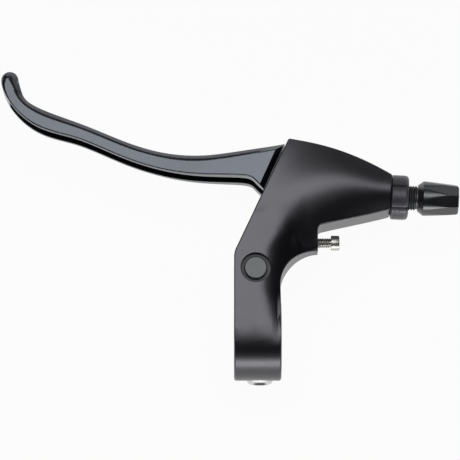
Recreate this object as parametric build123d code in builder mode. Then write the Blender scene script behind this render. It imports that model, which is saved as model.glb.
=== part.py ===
from build123d import *
from math import cos, radians, sin, sqrt
import os

os.makedirs("parts", exist_ok=True)

# Frame: the origin is the centre of the handlebar bore, +X runs along the bar to the stem,
# +Y points forward from the bar and +Z points up. All sizes are millimetres.

# Handlebar clamp
bar_diameter = 22.2
clamp_wall = 4.9
clamp_edge_round = 1.0
clamp_slit = 2.0
lug_half_length = 11.6
lug_depth = 22.0
lug_round = 4.0

# Lever plane and pivot
lever_plane = 4.75
pivot_x = -0.8
pivot_y = 26.3
pin_diameter = 6.0
pin_head_diameter = 9.0
pin_head_height = 1.7
pin_recess_diameter = 12.1
pin_recess_depth = 1.9
clip_recess_diameter = 12.6
clip_recess_depth = 2.6
clip_thickness = 0.8
clip_outer_diameter = 10.4
clip_neck_diameter = 4.6
clip_play = 0.1
clip_scallop_radius = 1.9
pin_tail = 1.2
pin_head_round = 0.4

# Bracket body
body_half_height = 11.75
neck_half_width = 9.4
neck_foot_y = -3.2
neck_foot_round = 40.0
neck_foot_lift = 0.1
bend_y = 32.6
head_corner = (12.4, 79.3)
front_middle = (33.0, 74.8)
nose_end_x = 53.4
nose_end_lean = 0.3
nose_front_y = 65.0
nose_rear_y = 51.2
boss_face_x = 24.0
boss_half_height = 3.6
boss_front_y = 44.3
boss_rear_y = 34.6
boss_corner_round = 2.2
inner_corner_radius = 15.0
crease_round = 0.5
corner_round = 0.8
bend_round = 9.0
valley_round = 4.0

# Arm section: distance across the arm and half height
arm_slant = 0.115
arm_end_x = boss_face_x + 3
arm_crown = [
    (-14, body_half_height),
    (-6, body_half_height),
    (-0.7, 11.65),
    (6.1, 9.4),
    (12.2, 6.1),
    (19.6, 3.8),
    (arm_end_x, boss_half_height),
]

# Head sections: x, front and rear y, then even heights above and below the lever plane
head_stations = [
    (-14, 88, 12, (10.6, 11.65, 11.7, 11.3, 10.5), (8.0, 11.4, 11.65, 11.3, 10.5)),
    (12, 83, 21, (10.6, 11.6, 11.8, 7.2, 1.5), (8.0, 11.3, 11.75, 6.7, 1.5)),
    (31, 85, 37.6, (6.6, 9.6, 11.6, 8.6, 1.5), (5.2, 9.3, 11.2, 9.4, 1.5)),
    (44, 78, 42, (6.4, 8.6, 10.3, 6.8, 1.4), (5.4, 9.0, 10.2, 9.4, 5.2)),
    (58, 70, 49, (7.0, 8.2, 8.9, 7.3, 4.2), (4.4, 8.0, 9.1, 8.3, 6.2)),
]

# Space for the lever inside the bracket
slot_half_height = 7.3
slot_side_room = 0.8
slot_end_x = 18.6
slot_step_y = 52.0
slot_front_y = 68.6

# Cable adjuster
adjuster_y = 57.6
adjuster_angle = -2.5
adjuster_thread_diameter = 10.0
adjuster_inner_length = 13.0
adjuster_exposed_length = 3.8
adjuster_in_travel = 3.0
cable_bore_diameter = 2.6
cable_passage_diameter = 5.2
cable_passage_length = 37.0
cable_slot_width = 2.2
seat_diameter = 5.6
seat_depth = 10.0
lock_nut_diameter = 17.7
lock_nut_thickness = 7.0
lock_nut_flutes = 8
lock_nut_flute_depth = 0.7
lock_nut_flute_radius = 2.2
knob_cone_length = 2.2
knob_length = 14.2
knob_large_diameter = 13.9
knob_small_diameter = 12.6
knob_shank_diameter = 8.0
knob_flats = 8
knob_flat_depth = 0.75
knob_lip = 0.3
knob_end_inset = 0.4

# Reach screw
reach_screw_y = 38.7
reach_screw_diameter = 4.0
reach_head_diameter = 5.9
reach_head_length = 3.4
reach_exposed_length = 5.3
reach_hex = 2.5
reach_hex_depth = 2.0
reach_tip_gap = 0.2
reach_hole_depth = 17.0

# Lever
blade_half_height = 6.4
root_half_height = 9.0
root_front = (10.9, 78.1)
root_rear = (2.4, 59.2)
root_bevel = 2.2
root_bevel_drop = 1.8
blade_bevel = 2.7
blade_tip_radius = 3.5
blade_tip = (-99.75, 105.05)
tip_half_height = 6.2
tip_round = 2.4
bevel_round = 0.7
rear_round = 0.5
channel_half_height = 4.4
channel_wall = 2.7
arm_half_height = 6.3
boss_radius = 7.2
nipple_diameter = 7.2
nipple_y = 59.6
nipple_x = 11.4
boss_floor = -1.6
pad_inset = 0.8
pad_room = 1.0

# Bushes and return spring
bush_outer_diameter = 8.0
bush_flange_diameter = 12.6
bush_flange_thickness = 0.8
bush_split = 2.5
bush_split_gap = 0.2
spring_wire = 0.95
spring_mean_radius = 5.2
spring_turns = 3
spring_pitch = 1.15
spring_leg = 4.6
spring_lift = 0.15
leg_clearance = 0.3

# Clamp bolt and nut
bolt_x = 1.0
bolt_head_end = -14.6
bolt_z = -16.6
bolt_diameter = 6.0
bolt_head_diameter = 10.4
bolt_head_height = 3.3
bolt_hex = 5.0
bolt_hex_depth = 2.6
bolt_length = 20.0
nut_width = 10.0
nut_thickness = 5.0
nut_seat_y = 4.0
nut_room = 0.1

# Clearances
running_fit = 0.04
thread_fit = 0.05
bolt_hole_room = 0.3

# Values that follow from the sizes above
bar_radius = bar_diameter / 2
clamp_radius = bar_radius + clamp_wall
axis_x = cos(radians(adjuster_angle))
axis_y = sin(radians(adjuster_angle))


def upright(outer, inner):
    """Upright section plane that starts at outer and runs level toward inner."""
    dx = inner[0] - outer[0]
    dy = inner[1] - outer[1]
    return Plane(origin=(outer[0], outer[1], lever_plane), x_dir=(dx, dy, 0), z_dir=(dy, -dx, 0))


def along_adjuster(distance):
    """Plane square to the adjuster axis, with +Z outward, at a distance from the nose end."""
    origin = (nose_end_x + axis_x * distance, adjuster_y + axis_y * distance, lever_plane)
    return Plane(origin=origin, x_dir=(-axis_y, axis_x, 0), z_dir=(axis_x, axis_y, 0))


level = Plane.XY.offset(lever_plane)
top_face = lever_plane + body_half_height
foot_drop = neck_foot_round - top_face
foot_start_y = sqrt((neck_foot_round - clamp_radius) ** 2 - foot_drop**2)
recess_floor = top_face - pin_recess_depth
clip_floor = lever_plane - body_half_height + clip_recess_depth
pad_x = neck_half_width - pad_inset
thread_hole_radius = adjuster_thread_diameter / 2 + thread_fit
exposed_end = lock_nut_thickness + adjuster_exposed_length
knob_end = exposed_end + knob_cone_length + knob_length
coil_start = lever_plane - arm_half_height + spring_wire / 2 + spring_lift
coil_end = coil_start + spring_pitch * spring_turns
leg_room = spring_wire + 2 * leg_clearance
bolt_seat = bolt_head_end + bolt_head_height

# Bracket: crowned arm and head trimmed to the plan outline, with the handlebar clamp below
with BuildPart() as bracket:
    with BuildSketch(Plane.XZ.offset(-neck_foot_y)):
        with BuildLine():
            over = Spline([(x, lever_plane + h) for x, h in arm_crown], tangents=[(1, 0), (1, -0.1)])
            under = Spline([(x, lever_plane - h) for x, h in arm_crown], tangents=[(1, 0), (1, 0.1)])
            Line(over @ 0, under @ 0)
            Line(over @ 1, under @ 1)
        make_face()
    extrude(amount=64, dir=(arm_slant, 1, 0))
    for x, front_y, rear_y, tops, bottoms in head_stations:
        span = front_y - rear_y
        with BuildSketch(upright((x, front_y), (x, rear_y))):
            with BuildLine():
                over = Spline([(span * i / 4, h) for i, h in enumerate(tops)])
                under = Spline([(span * i / 4, -h) for i, h in enumerate(bottoms)])
                Line(over @ 0, under @ 0)
                Line(over @ 1, under @ 1)
            make_face()
    loft()
    with BuildSketch(Plane.XY):
        with BuildLine() as plan:
            left = Line((-neck_half_width, neck_foot_y), (-neck_half_width, bend_y))
            slant = Line(left @ 1, head_corner)
            front = ThreePointArc(slant @ 1, front_middle, (nose_end_x + nose_end_lean, nose_front_y))
            end = Line(front @ 1, (nose_end_x - nose_end_lean, nose_rear_y))
            wall = Line(end @ 1, (boss_face_x, boss_front_y))
            boss = Line(wall @ 1, (boss_face_x, boss_rear_y))
            corner = JernArc(boss @ 1, (-1, 0), inner_corner_radius, 90)
            right = Line(corner @ 1, (neck_half_width, neck_foot_y))
            Line(right @ 1, left @ 0)
        make_face()
        fillet(plan.vertices().sort_by_distance(wall @ 1)[0], boss_corner_round)
    extrude(amount=lever_plane + 14, mode=Mode.INTERSECT, both=True)
    # Let the top of the arm run down into the clamp ring
    with BuildSketch(Plane.YZ.offset(-neck_half_width - 1)):
        with Locations((foot_start_y, top_face + neck_foot_lift - neck_foot_round)):
            Rectangle(20, 2 * neck_foot_round + 4, align=(Align.MAX, Align.CENTER))
            Circle(neck_foot_round, mode=Mode.SUBTRACT)
        with Locations((0, -50)):
            Rectangle(100, 100, mode=Mode.SUBTRACT)
    extrude(amount=2 * neck_half_width + 2, mode=Mode.SUBTRACT)
    # Blend the valley between arm and head, then round the corners and the outer edges
    seams = bracket.edges().filter_by(lambda e: e.bounding_box().min.X < 6 and e.bounding_box().max.X > 20)
    seams = seams.filter_by(lambda e: e.bounding_box().max.Y < 60)
    fillet(seams, valley_round)
    uprights = bracket.edges().filter_by(Axis.Z)
    fillet(uprights.filter_by(lambda e: e.center().X < 0 and e.center().Y > 10), bend_round)
    uprights = bracket.edges().filter_by(Axis.Z)
    fillet(uprights.filter_by(lambda e: e.center().Y > 50), corner_round)
    rims = bracket.edges().filter_by(lambda e: abs((e % 0.5).Z) < 0.95 and e.center().Y > -1.5)
    rims = rims.filter_by(lambda e: e.bounding_box().min.X > 6 or e.bounding_box().max.X < 20)
    rims = rims.filter_by(lambda e: e.center().Y > 8 or abs((e % 0.5).X) < 0.9)
    fillet(rims, crease_round)
    # Clamp ring with its two lugs
    with BuildSketch(Plane.YZ.offset(-neck_half_width)):
        Circle(clamp_radius)
        with Locations((0, -lug_depth / 2)):
            Rectangle(2 * lug_half_length, lug_depth)
    ring = extrude(amount=2 * neck_half_width, mode=Mode.PRIVATE)
    ring = ring.fillet(lug_round, ring.edges().filter_by(Axis.X).group_by(Axis.Z)[0])
    ring = ring.fillet(clamp_edge_round, ring.edges().filter_by(lambda e: abs((e % 0.5).X) < 0.1))
    add(ring)
    with BuildSketch(Plane.YZ):
        Circle(bar_radius)
        with Locations((0, -lug_depth / 2)):
            Rectangle(clamp_slit, lug_depth + 1)
    extrude(amount=neck_half_width + 1, both=True, mode=Mode.SUBTRACT)
    # Space for the lever arm, open to the left
    with BuildSketch(level):
        with BuildLine():
            room = boss_radius + slot_side_room
            Line((-40, pivot_y - room), (pivot_x, pivot_y - room))
            ThreePointArc(
                (pivot_x, pivot_y - room),
                (pivot_x + room * cos(radians(45)), pivot_y - room * sin(radians(45))),
                (pivot_x + room, pivot_y),
            )
            Polyline(
                (pivot_x + room, pivot_y),
                (pad_x + pad_room, reach_screw_y),
                (slot_end_x, slot_step_y),
                (slot_end_x, slot_front_y),
                (-40, slot_front_y),
                (-40, pivot_y - room),
            )
        make_face()
    extrude(amount=slot_half_height, both=True, mode=Mode.SUBTRACT)
    # Notch for the fixed leg of the return spring
    with BuildSketch(Plane.XZ.offset(-pivot_y)):
        with Locations((pivot_x + spring_mean_radius, coil_start)):
            Rectangle(leg_room, leg_room)
    extrude(amount=spring_mean_radius + spring_leg + leg_clearance, mode=Mode.SUBTRACT)
    # Pivot hole with its two recesses
    with BuildSketch(level):
        with Locations((pivot_x, pivot_y)):
            Circle(pin_diameter / 2 + running_fit)
    extrude(amount=body_half_height + 2, both=True, mode=Mode.SUBTRACT)
    with BuildSketch(Plane.XY.offset(recess_floor)):
        with Locations((pivot_x, pivot_y)):
            Circle(pin_recess_diameter / 2)
    extrude(amount=pin_recess_depth + 2, mode=Mode.SUBTRACT)
    with BuildSketch(Plane.XY.offset(clip_floor)):
        with Locations((pivot_x, pivot_y)):
            Circle(clip_recess_diameter / 2)
    extrude(amount=-clip_recess_depth - 2, mode=Mode.SUBTRACT)
    # Adjuster thread, cable passage and cable slot
    with BuildSketch(along_adjuster(0)):
        Circle(thread_hole_radius)
    extrude(amount=-adjuster_inner_length - adjuster_in_travel - 1, mode=Mode.SUBTRACT)
    with BuildSketch(along_adjuster(0)):
        Circle(cable_passage_diameter / 2)
    extrude(amount=-cable_passage_length, mode=Mode.SUBTRACT)
    with BuildSketch(along_adjuster(2)):
        with Locations((0, -10)):
            Rectangle(cable_slot_width, 20)
    extrude(amount=-cable_passage_length - 2, mode=Mode.SUBTRACT)
    # Reach screw hole
    with BuildSketch(Plane.YZ.offset(boss_face_x + 1)):
        with Locations((reach_screw_y, lever_plane)):
            Circle(reach_screw_diameter / 2 + thread_fit)
    extrude(amount=-reach_hole_depth - 1, mode=Mode.SUBTRACT)
    # Clamp bolt hole, head seat and nut pocket
    with BuildSketch(Plane.XZ):
        with Locations((bolt_x, bolt_z)):
            Circle(bolt_diameter / 2 + bolt_hole_room)
    extrude(amount=lug_half_length + 2, both=True, mode=Mode.SUBTRACT)
    with BuildSketch(Plane.XZ.offset(-bolt_seat)):
        with Locations((bolt_x, bolt_z)):
            Circle(bolt_head_diameter / 2 + bolt_hole_room)
    extrude(amount=6, mode=Mode.SUBTRACT)
    with BuildSketch(Plane.XZ.offset(-nut_seat_y)):
        with Locations((bolt_x, bolt_z)):
            Rectangle(nut_width + nut_room, nut_width + nut_room)
    extrude(amount=-lug_half_length, mode=Mode.SUBTRACT)

bracket.part.label = "bracket"
export_step(bracket.part, "parts/bracket.step")

# Lever: bevelled blade with a raised root, a rear channel and the arm that runs to the pivot
with BuildPart() as lever_blade:
    blade_stations = [
        ((-96.4, 104.8), (-103.1, 105.3), blade_half_height, tip_round),
        ((-94.2, 98.6), (-99.9, 96.2), blade_half_height, rear_round),
        ((-91.0, 95.4), (-93.6, 89.1), blade_half_height, rear_round),
        ((-71.0, 87.1), (-73.6, 80.8), blade_half_height, rear_round),
        ((-51.0, 78.9), (-53.6, 72.5), blade_half_height, rear_round),
        ((-37.0, 74.9), (-38.5, 67.6), 6.7, rear_round),
        ((-23.0, 73.6), (-23.0, 65.2), 7.8, rear_round),
        ((-9.0, 74.9), (-7.5, 64.6), 8.8, rear_round),
        ((1.0, 76.4), (-2.3, 63.6), 8.95, rear_round),
        (root_front, root_rear, root_half_height, rear_round),
    ]
    for edge, back, h, round_off in blade_stations:
        d = sqrt((edge[0] - back[0]) ** 2 + (edge[1] - back[1]) ** 2)
        with BuildSketch(upright(edge, back)) as section:
            with BuildLine():
                Polyline(
                    (0, h - blade_bevel),
                    (blade_bevel, h),
                    (d, h),
                    (d, -h),
                    (blade_bevel, -h),
                    (0, blade_bevel - h),
                    close=True,
                )
            make_face()
            fillet(section.vertices().filter_by(lambda v: v.X < blade_bevel + 1), bevel_round)
            fillet(section.vertices().filter_by(lambda v: v.X > d - 0.1), round_off)
    loft()
    # Bevels along the end of the root, beside the bracket
    along = (Vector(*root_front) - Vector(*root_rear)).normalized()
    across = Vector(along.Y, -along.X)
    start = Vector(*root_front) + along * 3 + Vector(0, 0, lever_plane)
    with BuildSketch(Plane(origin=start, x_dir=across, z_dir=-along)):
        for side in (1, -1):
            with BuildLine():
                Polyline(
                    (-root_bevel, side * root_half_height),
                    (1, side * (root_half_height - root_bevel_drop * (1 + 1 / root_bevel))),
                    (1, side * (root_half_height + 1)),
                    (-root_bevel, side * (root_half_height + 1)),
                    close=True,
                )
            make_face()
    extrude(amount=30, mode=Mode.SUBTRACT)
    # Rounded tip
    with BuildSketch(Plane.XY.offset(lever_plane - tip_half_height)):
        with Locations(blade_tip):
            Circle(blade_tip_radius)
    tip = extrude(amount=2 * tip_half_height, mode=Mode.PRIVATE)
    add(tip.fillet(tip_round, tip.edges().filter_by(GeomType.CIRCLE)))
    # Channel along the back of the blade
    for edge, back, h, round_off in blade_stations[1:]:
        d = sqrt((edge[0] - back[0]) ** 2 + (edge[1] - back[1]) ** 2)
        with BuildSketch(upright(edge, back)) as section:
            with Locations(((channel_wall + d + 3) / 2, 0)):
                Rectangle(d + 3 - channel_wall, 2 * channel_half_height)
    loft(mode=Mode.SUBTRACT)
    # Arm inside the bracket, with the pivot boss and the cable hook
    with BuildSketch(Plane.XY.offset(lever_plane - arm_half_height)) as arm:
        with BuildLine():
            Polyline(
                (pivot_x - 5.6, pivot_y + 4.5),
                (0.6, 50),
                (2.2, 57.5),
                (2.4, 62.0),
                (5.0, 73.0),
                (6.3, 67.6),
                (nipple_x + 4.0, nipple_y + 5.0),
                (nipple_x + 5.2, nipple_y + 2.0),
                (nipple_x + 5.2, nipple_y - 5.0),
                (pad_x + 1.0, 47),
                (pad_x, reach_screw_y + 4),
                (pad_x, reach_screw_y - 4),
                (pivot_x + boss_radius, pivot_y),
                close=True,
            )
        make_face()
        with Locations((pivot_x, pivot_y)):
            Circle(boss_radius)
    extrude(amount=2 * arm_half_height)
    with BuildSketch(Plane.XY.offset(lever_plane + boss_floor)):
        with Locations((pivot_x, pivot_y)):
            Circle(boss_radius + slot_side_room)
    extrude(amount=-arm_half_height, mode=Mode.SUBTRACT)
    with BuildSketch(level):
        with Locations((pivot_x, pivot_y)):
            Circle(bush_outer_diameter / 2 + running_fit)
        with Locations((nipple_x, nipple_y)):
            Circle(nipple_diameter / 2)
    extrude(amount=arm_half_height + 1, both=True, mode=Mode.SUBTRACT)
    with BuildSketch(level):
        with Locations((nipple_x + 5, nipple_y)):
            Rectangle(10, cable_slot_width)
    extrude(amount=-arm_half_height - 1, mode=Mode.SUBTRACT)
    # Notch for the moving leg of the return spring
    with BuildSketch(Plane.XZ.offset(-pivot_y)):
        with Locations((pivot_x + spring_mean_radius, coil_end)):
            Rectangle(leg_room, leg_room)
    extrude(amount=-spring_mean_radius - spring_leg - leg_clearance, mode=Mode.SUBTRACT)

lever_blade.part.label = "lever_blade"
export_step(lever_blade.part, "parts/lever_blade.step")

# Pivot pin
with BuildPart() as pivot_pin:
    pin_end = clip_floor - clip_thickness - pin_tail
    with BuildSketch(Plane.XY.offset(pin_end)):
        with Locations((pivot_x, pivot_y)):
            Circle(pin_diameter / 2)
    extrude(amount=recess_floor - pin_end)
    with BuildSketch(Plane.XY.offset(recess_floor)):
        with Locations((pivot_x, pivot_y)):
            Circle(pin_head_diameter / 2)
    extrude(amount=pin_head_height)
    fillet(pivot_pin.edges().group_by(Axis.Z)[-1], pin_head_round)
    with BuildSketch(Plane.XY.offset(clip_floor)):
        with Locations((pivot_x, pivot_y)):
            Circle(pin_diameter)
            Circle(clip_neck_diameter / 2, mode=Mode.SUBTRACT)
    extrude(amount=-clip_thickness - clip_play, mode=Mode.SUBTRACT)

pivot_pin.part.label = "pivot_pin"
export_step(pivot_pin.part, "parts/pivot_pin.step")

# Retaining clip on the pin, below the bracket
with BuildPart() as pivot_clip:
    with BuildSketch(Plane.XY.offset(clip_floor)):
        with Locations((pivot_x, pivot_y)):
            Circle(clip_outer_diameter / 2)
            Circle(clip_neck_diameter / 2 + running_fit, mode=Mode.SUBTRACT)
        with Locations((pivot_x, pivot_y - clip_outer_diameter / 2)):
            Rectangle(clip_neck_diameter - 0.8, clip_outer_diameter, mode=Mode.SUBTRACT)
        with Locations((pivot_x, pivot_y)):
            with PolarLocations(clip_outer_diameter / 2, 2, 30, 120, endpoint=True):
                Circle(clip_scallop_radius, mode=Mode.SUBTRACT)
    extrude(amount=-clip_thickness)

pivot_clip.part.label = "pivot_clip"
export_step(pivot_clip.part, "parts/pivot_clip.step")

# Flanged bushes between the pin and the lever
with BuildPart() as upper_bush:
    with BuildSketch(Plane.XY.offset(lever_plane + bush_split + bush_split_gap / 2)):
        with Locations((pivot_x, pivot_y)):
            Circle(bush_outer_diameter / 2)
    extrude(amount=arm_half_height - bush_split - bush_split_gap / 2)
    with BuildSketch(Plane.XY.offset(lever_plane + arm_half_height)):
        with Locations((pivot_x, pivot_y)):
            Circle(bush_flange_diameter / 2)
    extrude(amount=bush_flange_thickness)
    with BuildSketch(level):
        with Locations((pivot_x, pivot_y)):
            Circle(pin_diameter / 2 + running_fit)
    extrude(amount=body_half_height, mode=Mode.SUBTRACT)

upper_bush.part.label = "upper_bush"
export_step(upper_bush.part, "parts/upper_bush.step")

with BuildPart() as lower_bush:
    with BuildSketch(Plane.XY.offset(lever_plane - arm_half_height)):
        with Locations((pivot_x, pivot_y)):
            Circle(bush_outer_diameter / 2)
    extrude(amount=arm_half_height + bush_split - bush_split_gap / 2)
    with BuildSketch(Plane.XY.offset(lever_plane - arm_half_height)):
        with Locations((pivot_x, pivot_y)):
            Circle(bush_flange_diameter / 2)
    extrude(amount=-bush_flange_thickness)
    with BuildSketch(level):
        with Locations((pivot_x, pivot_y)):
            Circle(pin_diameter / 2 + running_fit)
    extrude(amount=body_half_height, both=True, mode=Mode.SUBTRACT)

lower_bush.part.label = "lower_bush"
export_step(lower_bush.part, "parts/lower_bush.step")

# Return spring: a coil round the lower bush with one leg on the lever and one on the bracket
with BuildPart() as return_spring:
    with BuildLine() as coil:
        Helix(
            spring_pitch, spring_pitch * spring_turns, spring_mean_radius,
            center=(pivot_x, pivot_y, coil_start),
        )
    with BuildSketch(Plane(origin=coil.line @ 0, x_dir=(1, 0, 0), z_dir=coil.line % 0)):
        Rectangle(spring_wire, spring_wire)
    sweep(path=coil.line, is_frenet=True)
    for z, direction in ((coil_start, 1), (coil_end, -1)):
        with BuildSketch(Plane.XZ.offset(-pivot_y)):
            with Locations((pivot_x + spring_mean_radius, z)):
                Rectangle(spring_wire, spring_wire)
        extrude(amount=direction * (spring_mean_radius + spring_leg))

return_spring.part.label = "return_spring"
export_step(return_spring.part, "parts/return_spring.step")

# Hollow adjuster bolt
with BuildPart() as adjuster_bolt:
    with BuildSketch(along_adjuster(-adjuster_inner_length)):
        Circle(adjuster_thread_diameter / 2)
    extrude(amount=adjuster_inner_length + exposed_end)
    with BuildSketch(along_adjuster(exposed_end)):
        Circle(knob_shank_diameter / 2)
    extrude(amount=knob_end - exposed_end - knob_end_inset)
    with BuildSketch(along_adjuster(-adjuster_inner_length - 1)):
        Circle(cable_bore_diameter / 2)
    extrude(amount=knob_end + adjuster_inner_length + 2, mode=Mode.SUBTRACT)
    with BuildSketch(along_adjuster(knob_end - knob_end_inset)):
        Circle(seat_diameter / 2)
    extrude(amount=-seat_depth, mode=Mode.SUBTRACT)
    with BuildSketch(along_adjuster(-adjuster_inner_length - 1)):
        with Locations((0, -5)):
            Rectangle(cable_slot_width, 10)
    extrude(amount=knob_end + adjuster_inner_length + 2, mode=Mode.SUBTRACT)

adjuster_bolt.part.label = "adjuster_bolt"
export_step(adjuster_bolt.part, "parts/adjuster_bolt.step")

# Adjuster knob: a cone and a tapered grip with flats that deepen toward the end
with BuildPart() as adjuster_knob:
    with BuildSketch(along_adjuster(exposed_end)) as cone_base:
        Circle(adjuster_thread_diameter / 2 + knob_lip)
    with BuildSketch(along_adjuster(exposed_end + knob_cone_length)):
        Circle(knob_large_diameter / 2)
    loft()
    with BuildSketch(along_adjuster(exposed_end + knob_cone_length)):
        Circle(knob_large_diameter / 2)
    with BuildSketch(along_adjuster(knob_end)):
        Circle(knob_small_diameter / 2)
    loft()
    fillet(adjuster_knob.edges().filter_by(GeomType.CIRCLE).sort_by(Axis.X)[-1], 1.2)
    for i in range(knob_flats):
        frame = along_adjuster(exposed_end + knob_cone_length)
        turn = 360 / knob_flats * (i + 0.5)
        side = Plane(origin=frame.origin, x_dir=frame.z_dir, z_dir=frame.x_dir).rotated((turn, 0, 0))
        radius = knob_large_diameter / 2
        with BuildSketch(side):
            with BuildLine():
                Polyline(
                    (0.8, radius + 0.02),
                    (knob_length + 1, knob_small_diameter / 2 - knob_flat_depth),
                    (knob_length + 1, radius + 3),
                    (0.8, radius + 3),
                    close=True,
                )
            make_face()
        extrude(amount=6, both=True, mode=Mode.SUBTRACT)
    with BuildSketch(along_adjuster(exposed_end - 1)):
        Circle(knob_shank_diameter / 2 + running_fit)
    extrude(amount=knob_end, mode=Mode.SUBTRACT)
    with BuildSketch(along_adjuster(exposed_end - 1)):
        with Locations((0, -5)):
            Rectangle(cable_slot_width, 10)
    extrude(amount=knob_end, mode=Mode.SUBTRACT)

adjuster_knob.part.label = "adjuster_knob"
export_step(adjuster_knob.part, "parts/adjuster_knob.step")

# Fluted lock nut against the nose of the bracket
with BuildPart() as lock_nut:
    with BuildSketch(along_adjuster(0)):
        Circle(lock_nut_diameter / 2)
    extrude(amount=lock_nut_thickness)
    chamfer(lock_nut.edges(), 0.7)
    with BuildSketch(along_adjuster(-0.5)):
        Circle(thread_hole_radius)
        with PolarLocations(
            lock_nut_diameter / 2 + lock_nut_flute_radius - lock_nut_flute_depth,
            lock_nut_flutes,
            start_angle=22.5,
        ):
            Circle(lock_nut_flute_radius)
        with Locations((0, -5)):
            Rectangle(cable_slot_width, 10)
    extrude(amount=lock_nut_thickness + 1, mode=Mode.SUBTRACT)

lock_nut.part.label = "lock_nut"
export_step(lock_nut.part, "parts/lock_nut.step")

# Reach screw
with BuildPart() as reach_screw:
    reach_tip = pad_x + reach_tip_gap
    shank_end = boss_face_x + reach_exposed_length
    with BuildSketch(Plane.YZ.offset(reach_tip)):
        with Locations((reach_screw_y, lever_plane)):
            Circle(reach_screw_diameter / 2)
    extrude(amount=shank_end - reach_tip)
    with BuildSketch(Plane.YZ.offset(shank_end)):
        with Locations((reach_screw_y, lever_plane)):
            Circle(reach_head_diameter / 2)
    extrude(amount=reach_head_length)
    fillet(reach_screw.edges().group_by(Axis.X)[-1], 0.5)
    with BuildSketch(Plane.YZ.offset(shank_end + reach_head_length)):
        with Locations((reach_screw_y, lever_plane)):
            RegularPolygon(reach_hex / 2, 6, major_radius=False)
    extrude(amount=-reach_hex_depth, mode=Mode.SUBTRACT)

reach_screw.part.label = "reach_screw"
export_step(reach_screw.part, "parts/reach_screw.step")

# Clamp bolt with a domed socket head
with BuildPart() as clamp_bolt:
    with BuildSketch(Plane.XZ.offset(-bolt_seat)):
        with Locations((bolt_x, bolt_z)):
            Circle(bolt_diameter / 2)
    extrude(amount=-bolt_length)
    with BuildSketch(Plane.XZ.offset(-bolt_seat)):
        with Locations((bolt_x, bolt_z)):
            Circle(bolt_head_diameter / 2)
    extrude(amount=bolt_head_height)
    fillet(clamp_bolt.edges().group_by(Axis.Y)[0], 1.6)
    with BuildSketch(Plane.XZ.offset(-bolt_head_end)):
        with Locations((bolt_x, bolt_z)):
            RegularPolygon(bolt_hex / 2, 6, major_radius=False)
    extrude(amount=-bolt_hex_depth, mode=Mode.SUBTRACT)

clamp_bolt.part.label = "clamp_bolt"
export_step(clamp_bolt.part, "parts/clamp_bolt.step")

# Square nut held in the front lug
with BuildPart() as clamp_nut:
    with BuildSketch(Plane.XZ.offset(-nut_seat_y)):
        with Locations((bolt_x, bolt_z)):
            Rectangle(nut_width, nut_width)
            Circle(bolt_diameter / 2 + thread_fit, mode=Mode.SUBTRACT)
    extrude(amount=-nut_thickness)

clamp_nut.part.label = "clamp_nut"
export_step(clamp_nut.part, "parts/clamp_nut.step")
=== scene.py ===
import logging
import math
from collections.abc import Callable, Sequence
from dataclasses import dataclass
from enum import Enum

import bmesh
import bpy
from mathutils import Euler, Matrix, Vector
from mathutils.bvhtree import BVHTree
from mathutils.kdtree import KDTree


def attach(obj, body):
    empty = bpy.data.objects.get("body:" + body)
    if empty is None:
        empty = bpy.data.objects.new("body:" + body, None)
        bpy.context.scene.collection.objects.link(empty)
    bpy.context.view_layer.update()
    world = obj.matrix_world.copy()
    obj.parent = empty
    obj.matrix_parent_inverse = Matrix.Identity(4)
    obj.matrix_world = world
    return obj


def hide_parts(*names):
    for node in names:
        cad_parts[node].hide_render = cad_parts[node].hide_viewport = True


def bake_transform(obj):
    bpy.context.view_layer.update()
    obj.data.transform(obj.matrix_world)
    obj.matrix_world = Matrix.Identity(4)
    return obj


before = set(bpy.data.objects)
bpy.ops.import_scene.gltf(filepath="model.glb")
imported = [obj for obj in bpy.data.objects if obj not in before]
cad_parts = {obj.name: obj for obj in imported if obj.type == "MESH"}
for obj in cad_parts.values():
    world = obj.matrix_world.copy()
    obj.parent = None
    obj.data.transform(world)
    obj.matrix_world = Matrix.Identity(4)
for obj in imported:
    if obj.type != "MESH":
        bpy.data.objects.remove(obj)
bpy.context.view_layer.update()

log = logging.getLogger("brake_lever")

MM = 0.001
UP = Vector((0.0, 0.0, 1.0))
NORMALS = "solid_normal"
SHARP_ANGLE = math.radians(32)
WAVE_STEP = math.tau / 20

Colour = tuple[float, float, float]
Place = tuple[float, float, float]
Span = tuple[float, float]
Radius = float | Callable[[float], float]
Feeds = dict[str | int, object]


def feed(tree: bpy.types.NodeTree, node: bpy.types.Node, feeds: Feeds) -> None:
    """Feeds the inputs of a node.

    Args:
        tree: The tree that holds the node.
        node: The node.
        feeds: Sockets to link, or values to set, by input name or index.
    """
    for key, value in feeds.items():
        if isinstance(value, bpy.types.NodeSocket):
            tree.links.new(value, node.inputs[key])
        else:
            node.inputs[key].default_value = value


def add_node(
    tree: bpy.types.NodeTree, kind: str, feeds: Feeds | None = None, **settings: object
) -> bpy.types.Node:
    """Adds a node to a tree, sets its properties and feeds its inputs.

    Args:
        tree: The tree.
        kind: The node's type.
        feeds: Sockets to link, or values to set, by input name or index.
        settings: Properties of the node.

    Returns:
        The new node.
    """
    made = tree.nodes.new(kind)
    for key, value in settings.items():
        setattr(made, key, value)
    feed(tree, made, feeds or {})
    return made


class Grain(Enum):
    """How the fine surface of a finish is worked."""

    SPRAYED = "sprayed"
    TURNED = "turned"
    DRAWN = "drawn"
    MOULDED = "moulded"


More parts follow.
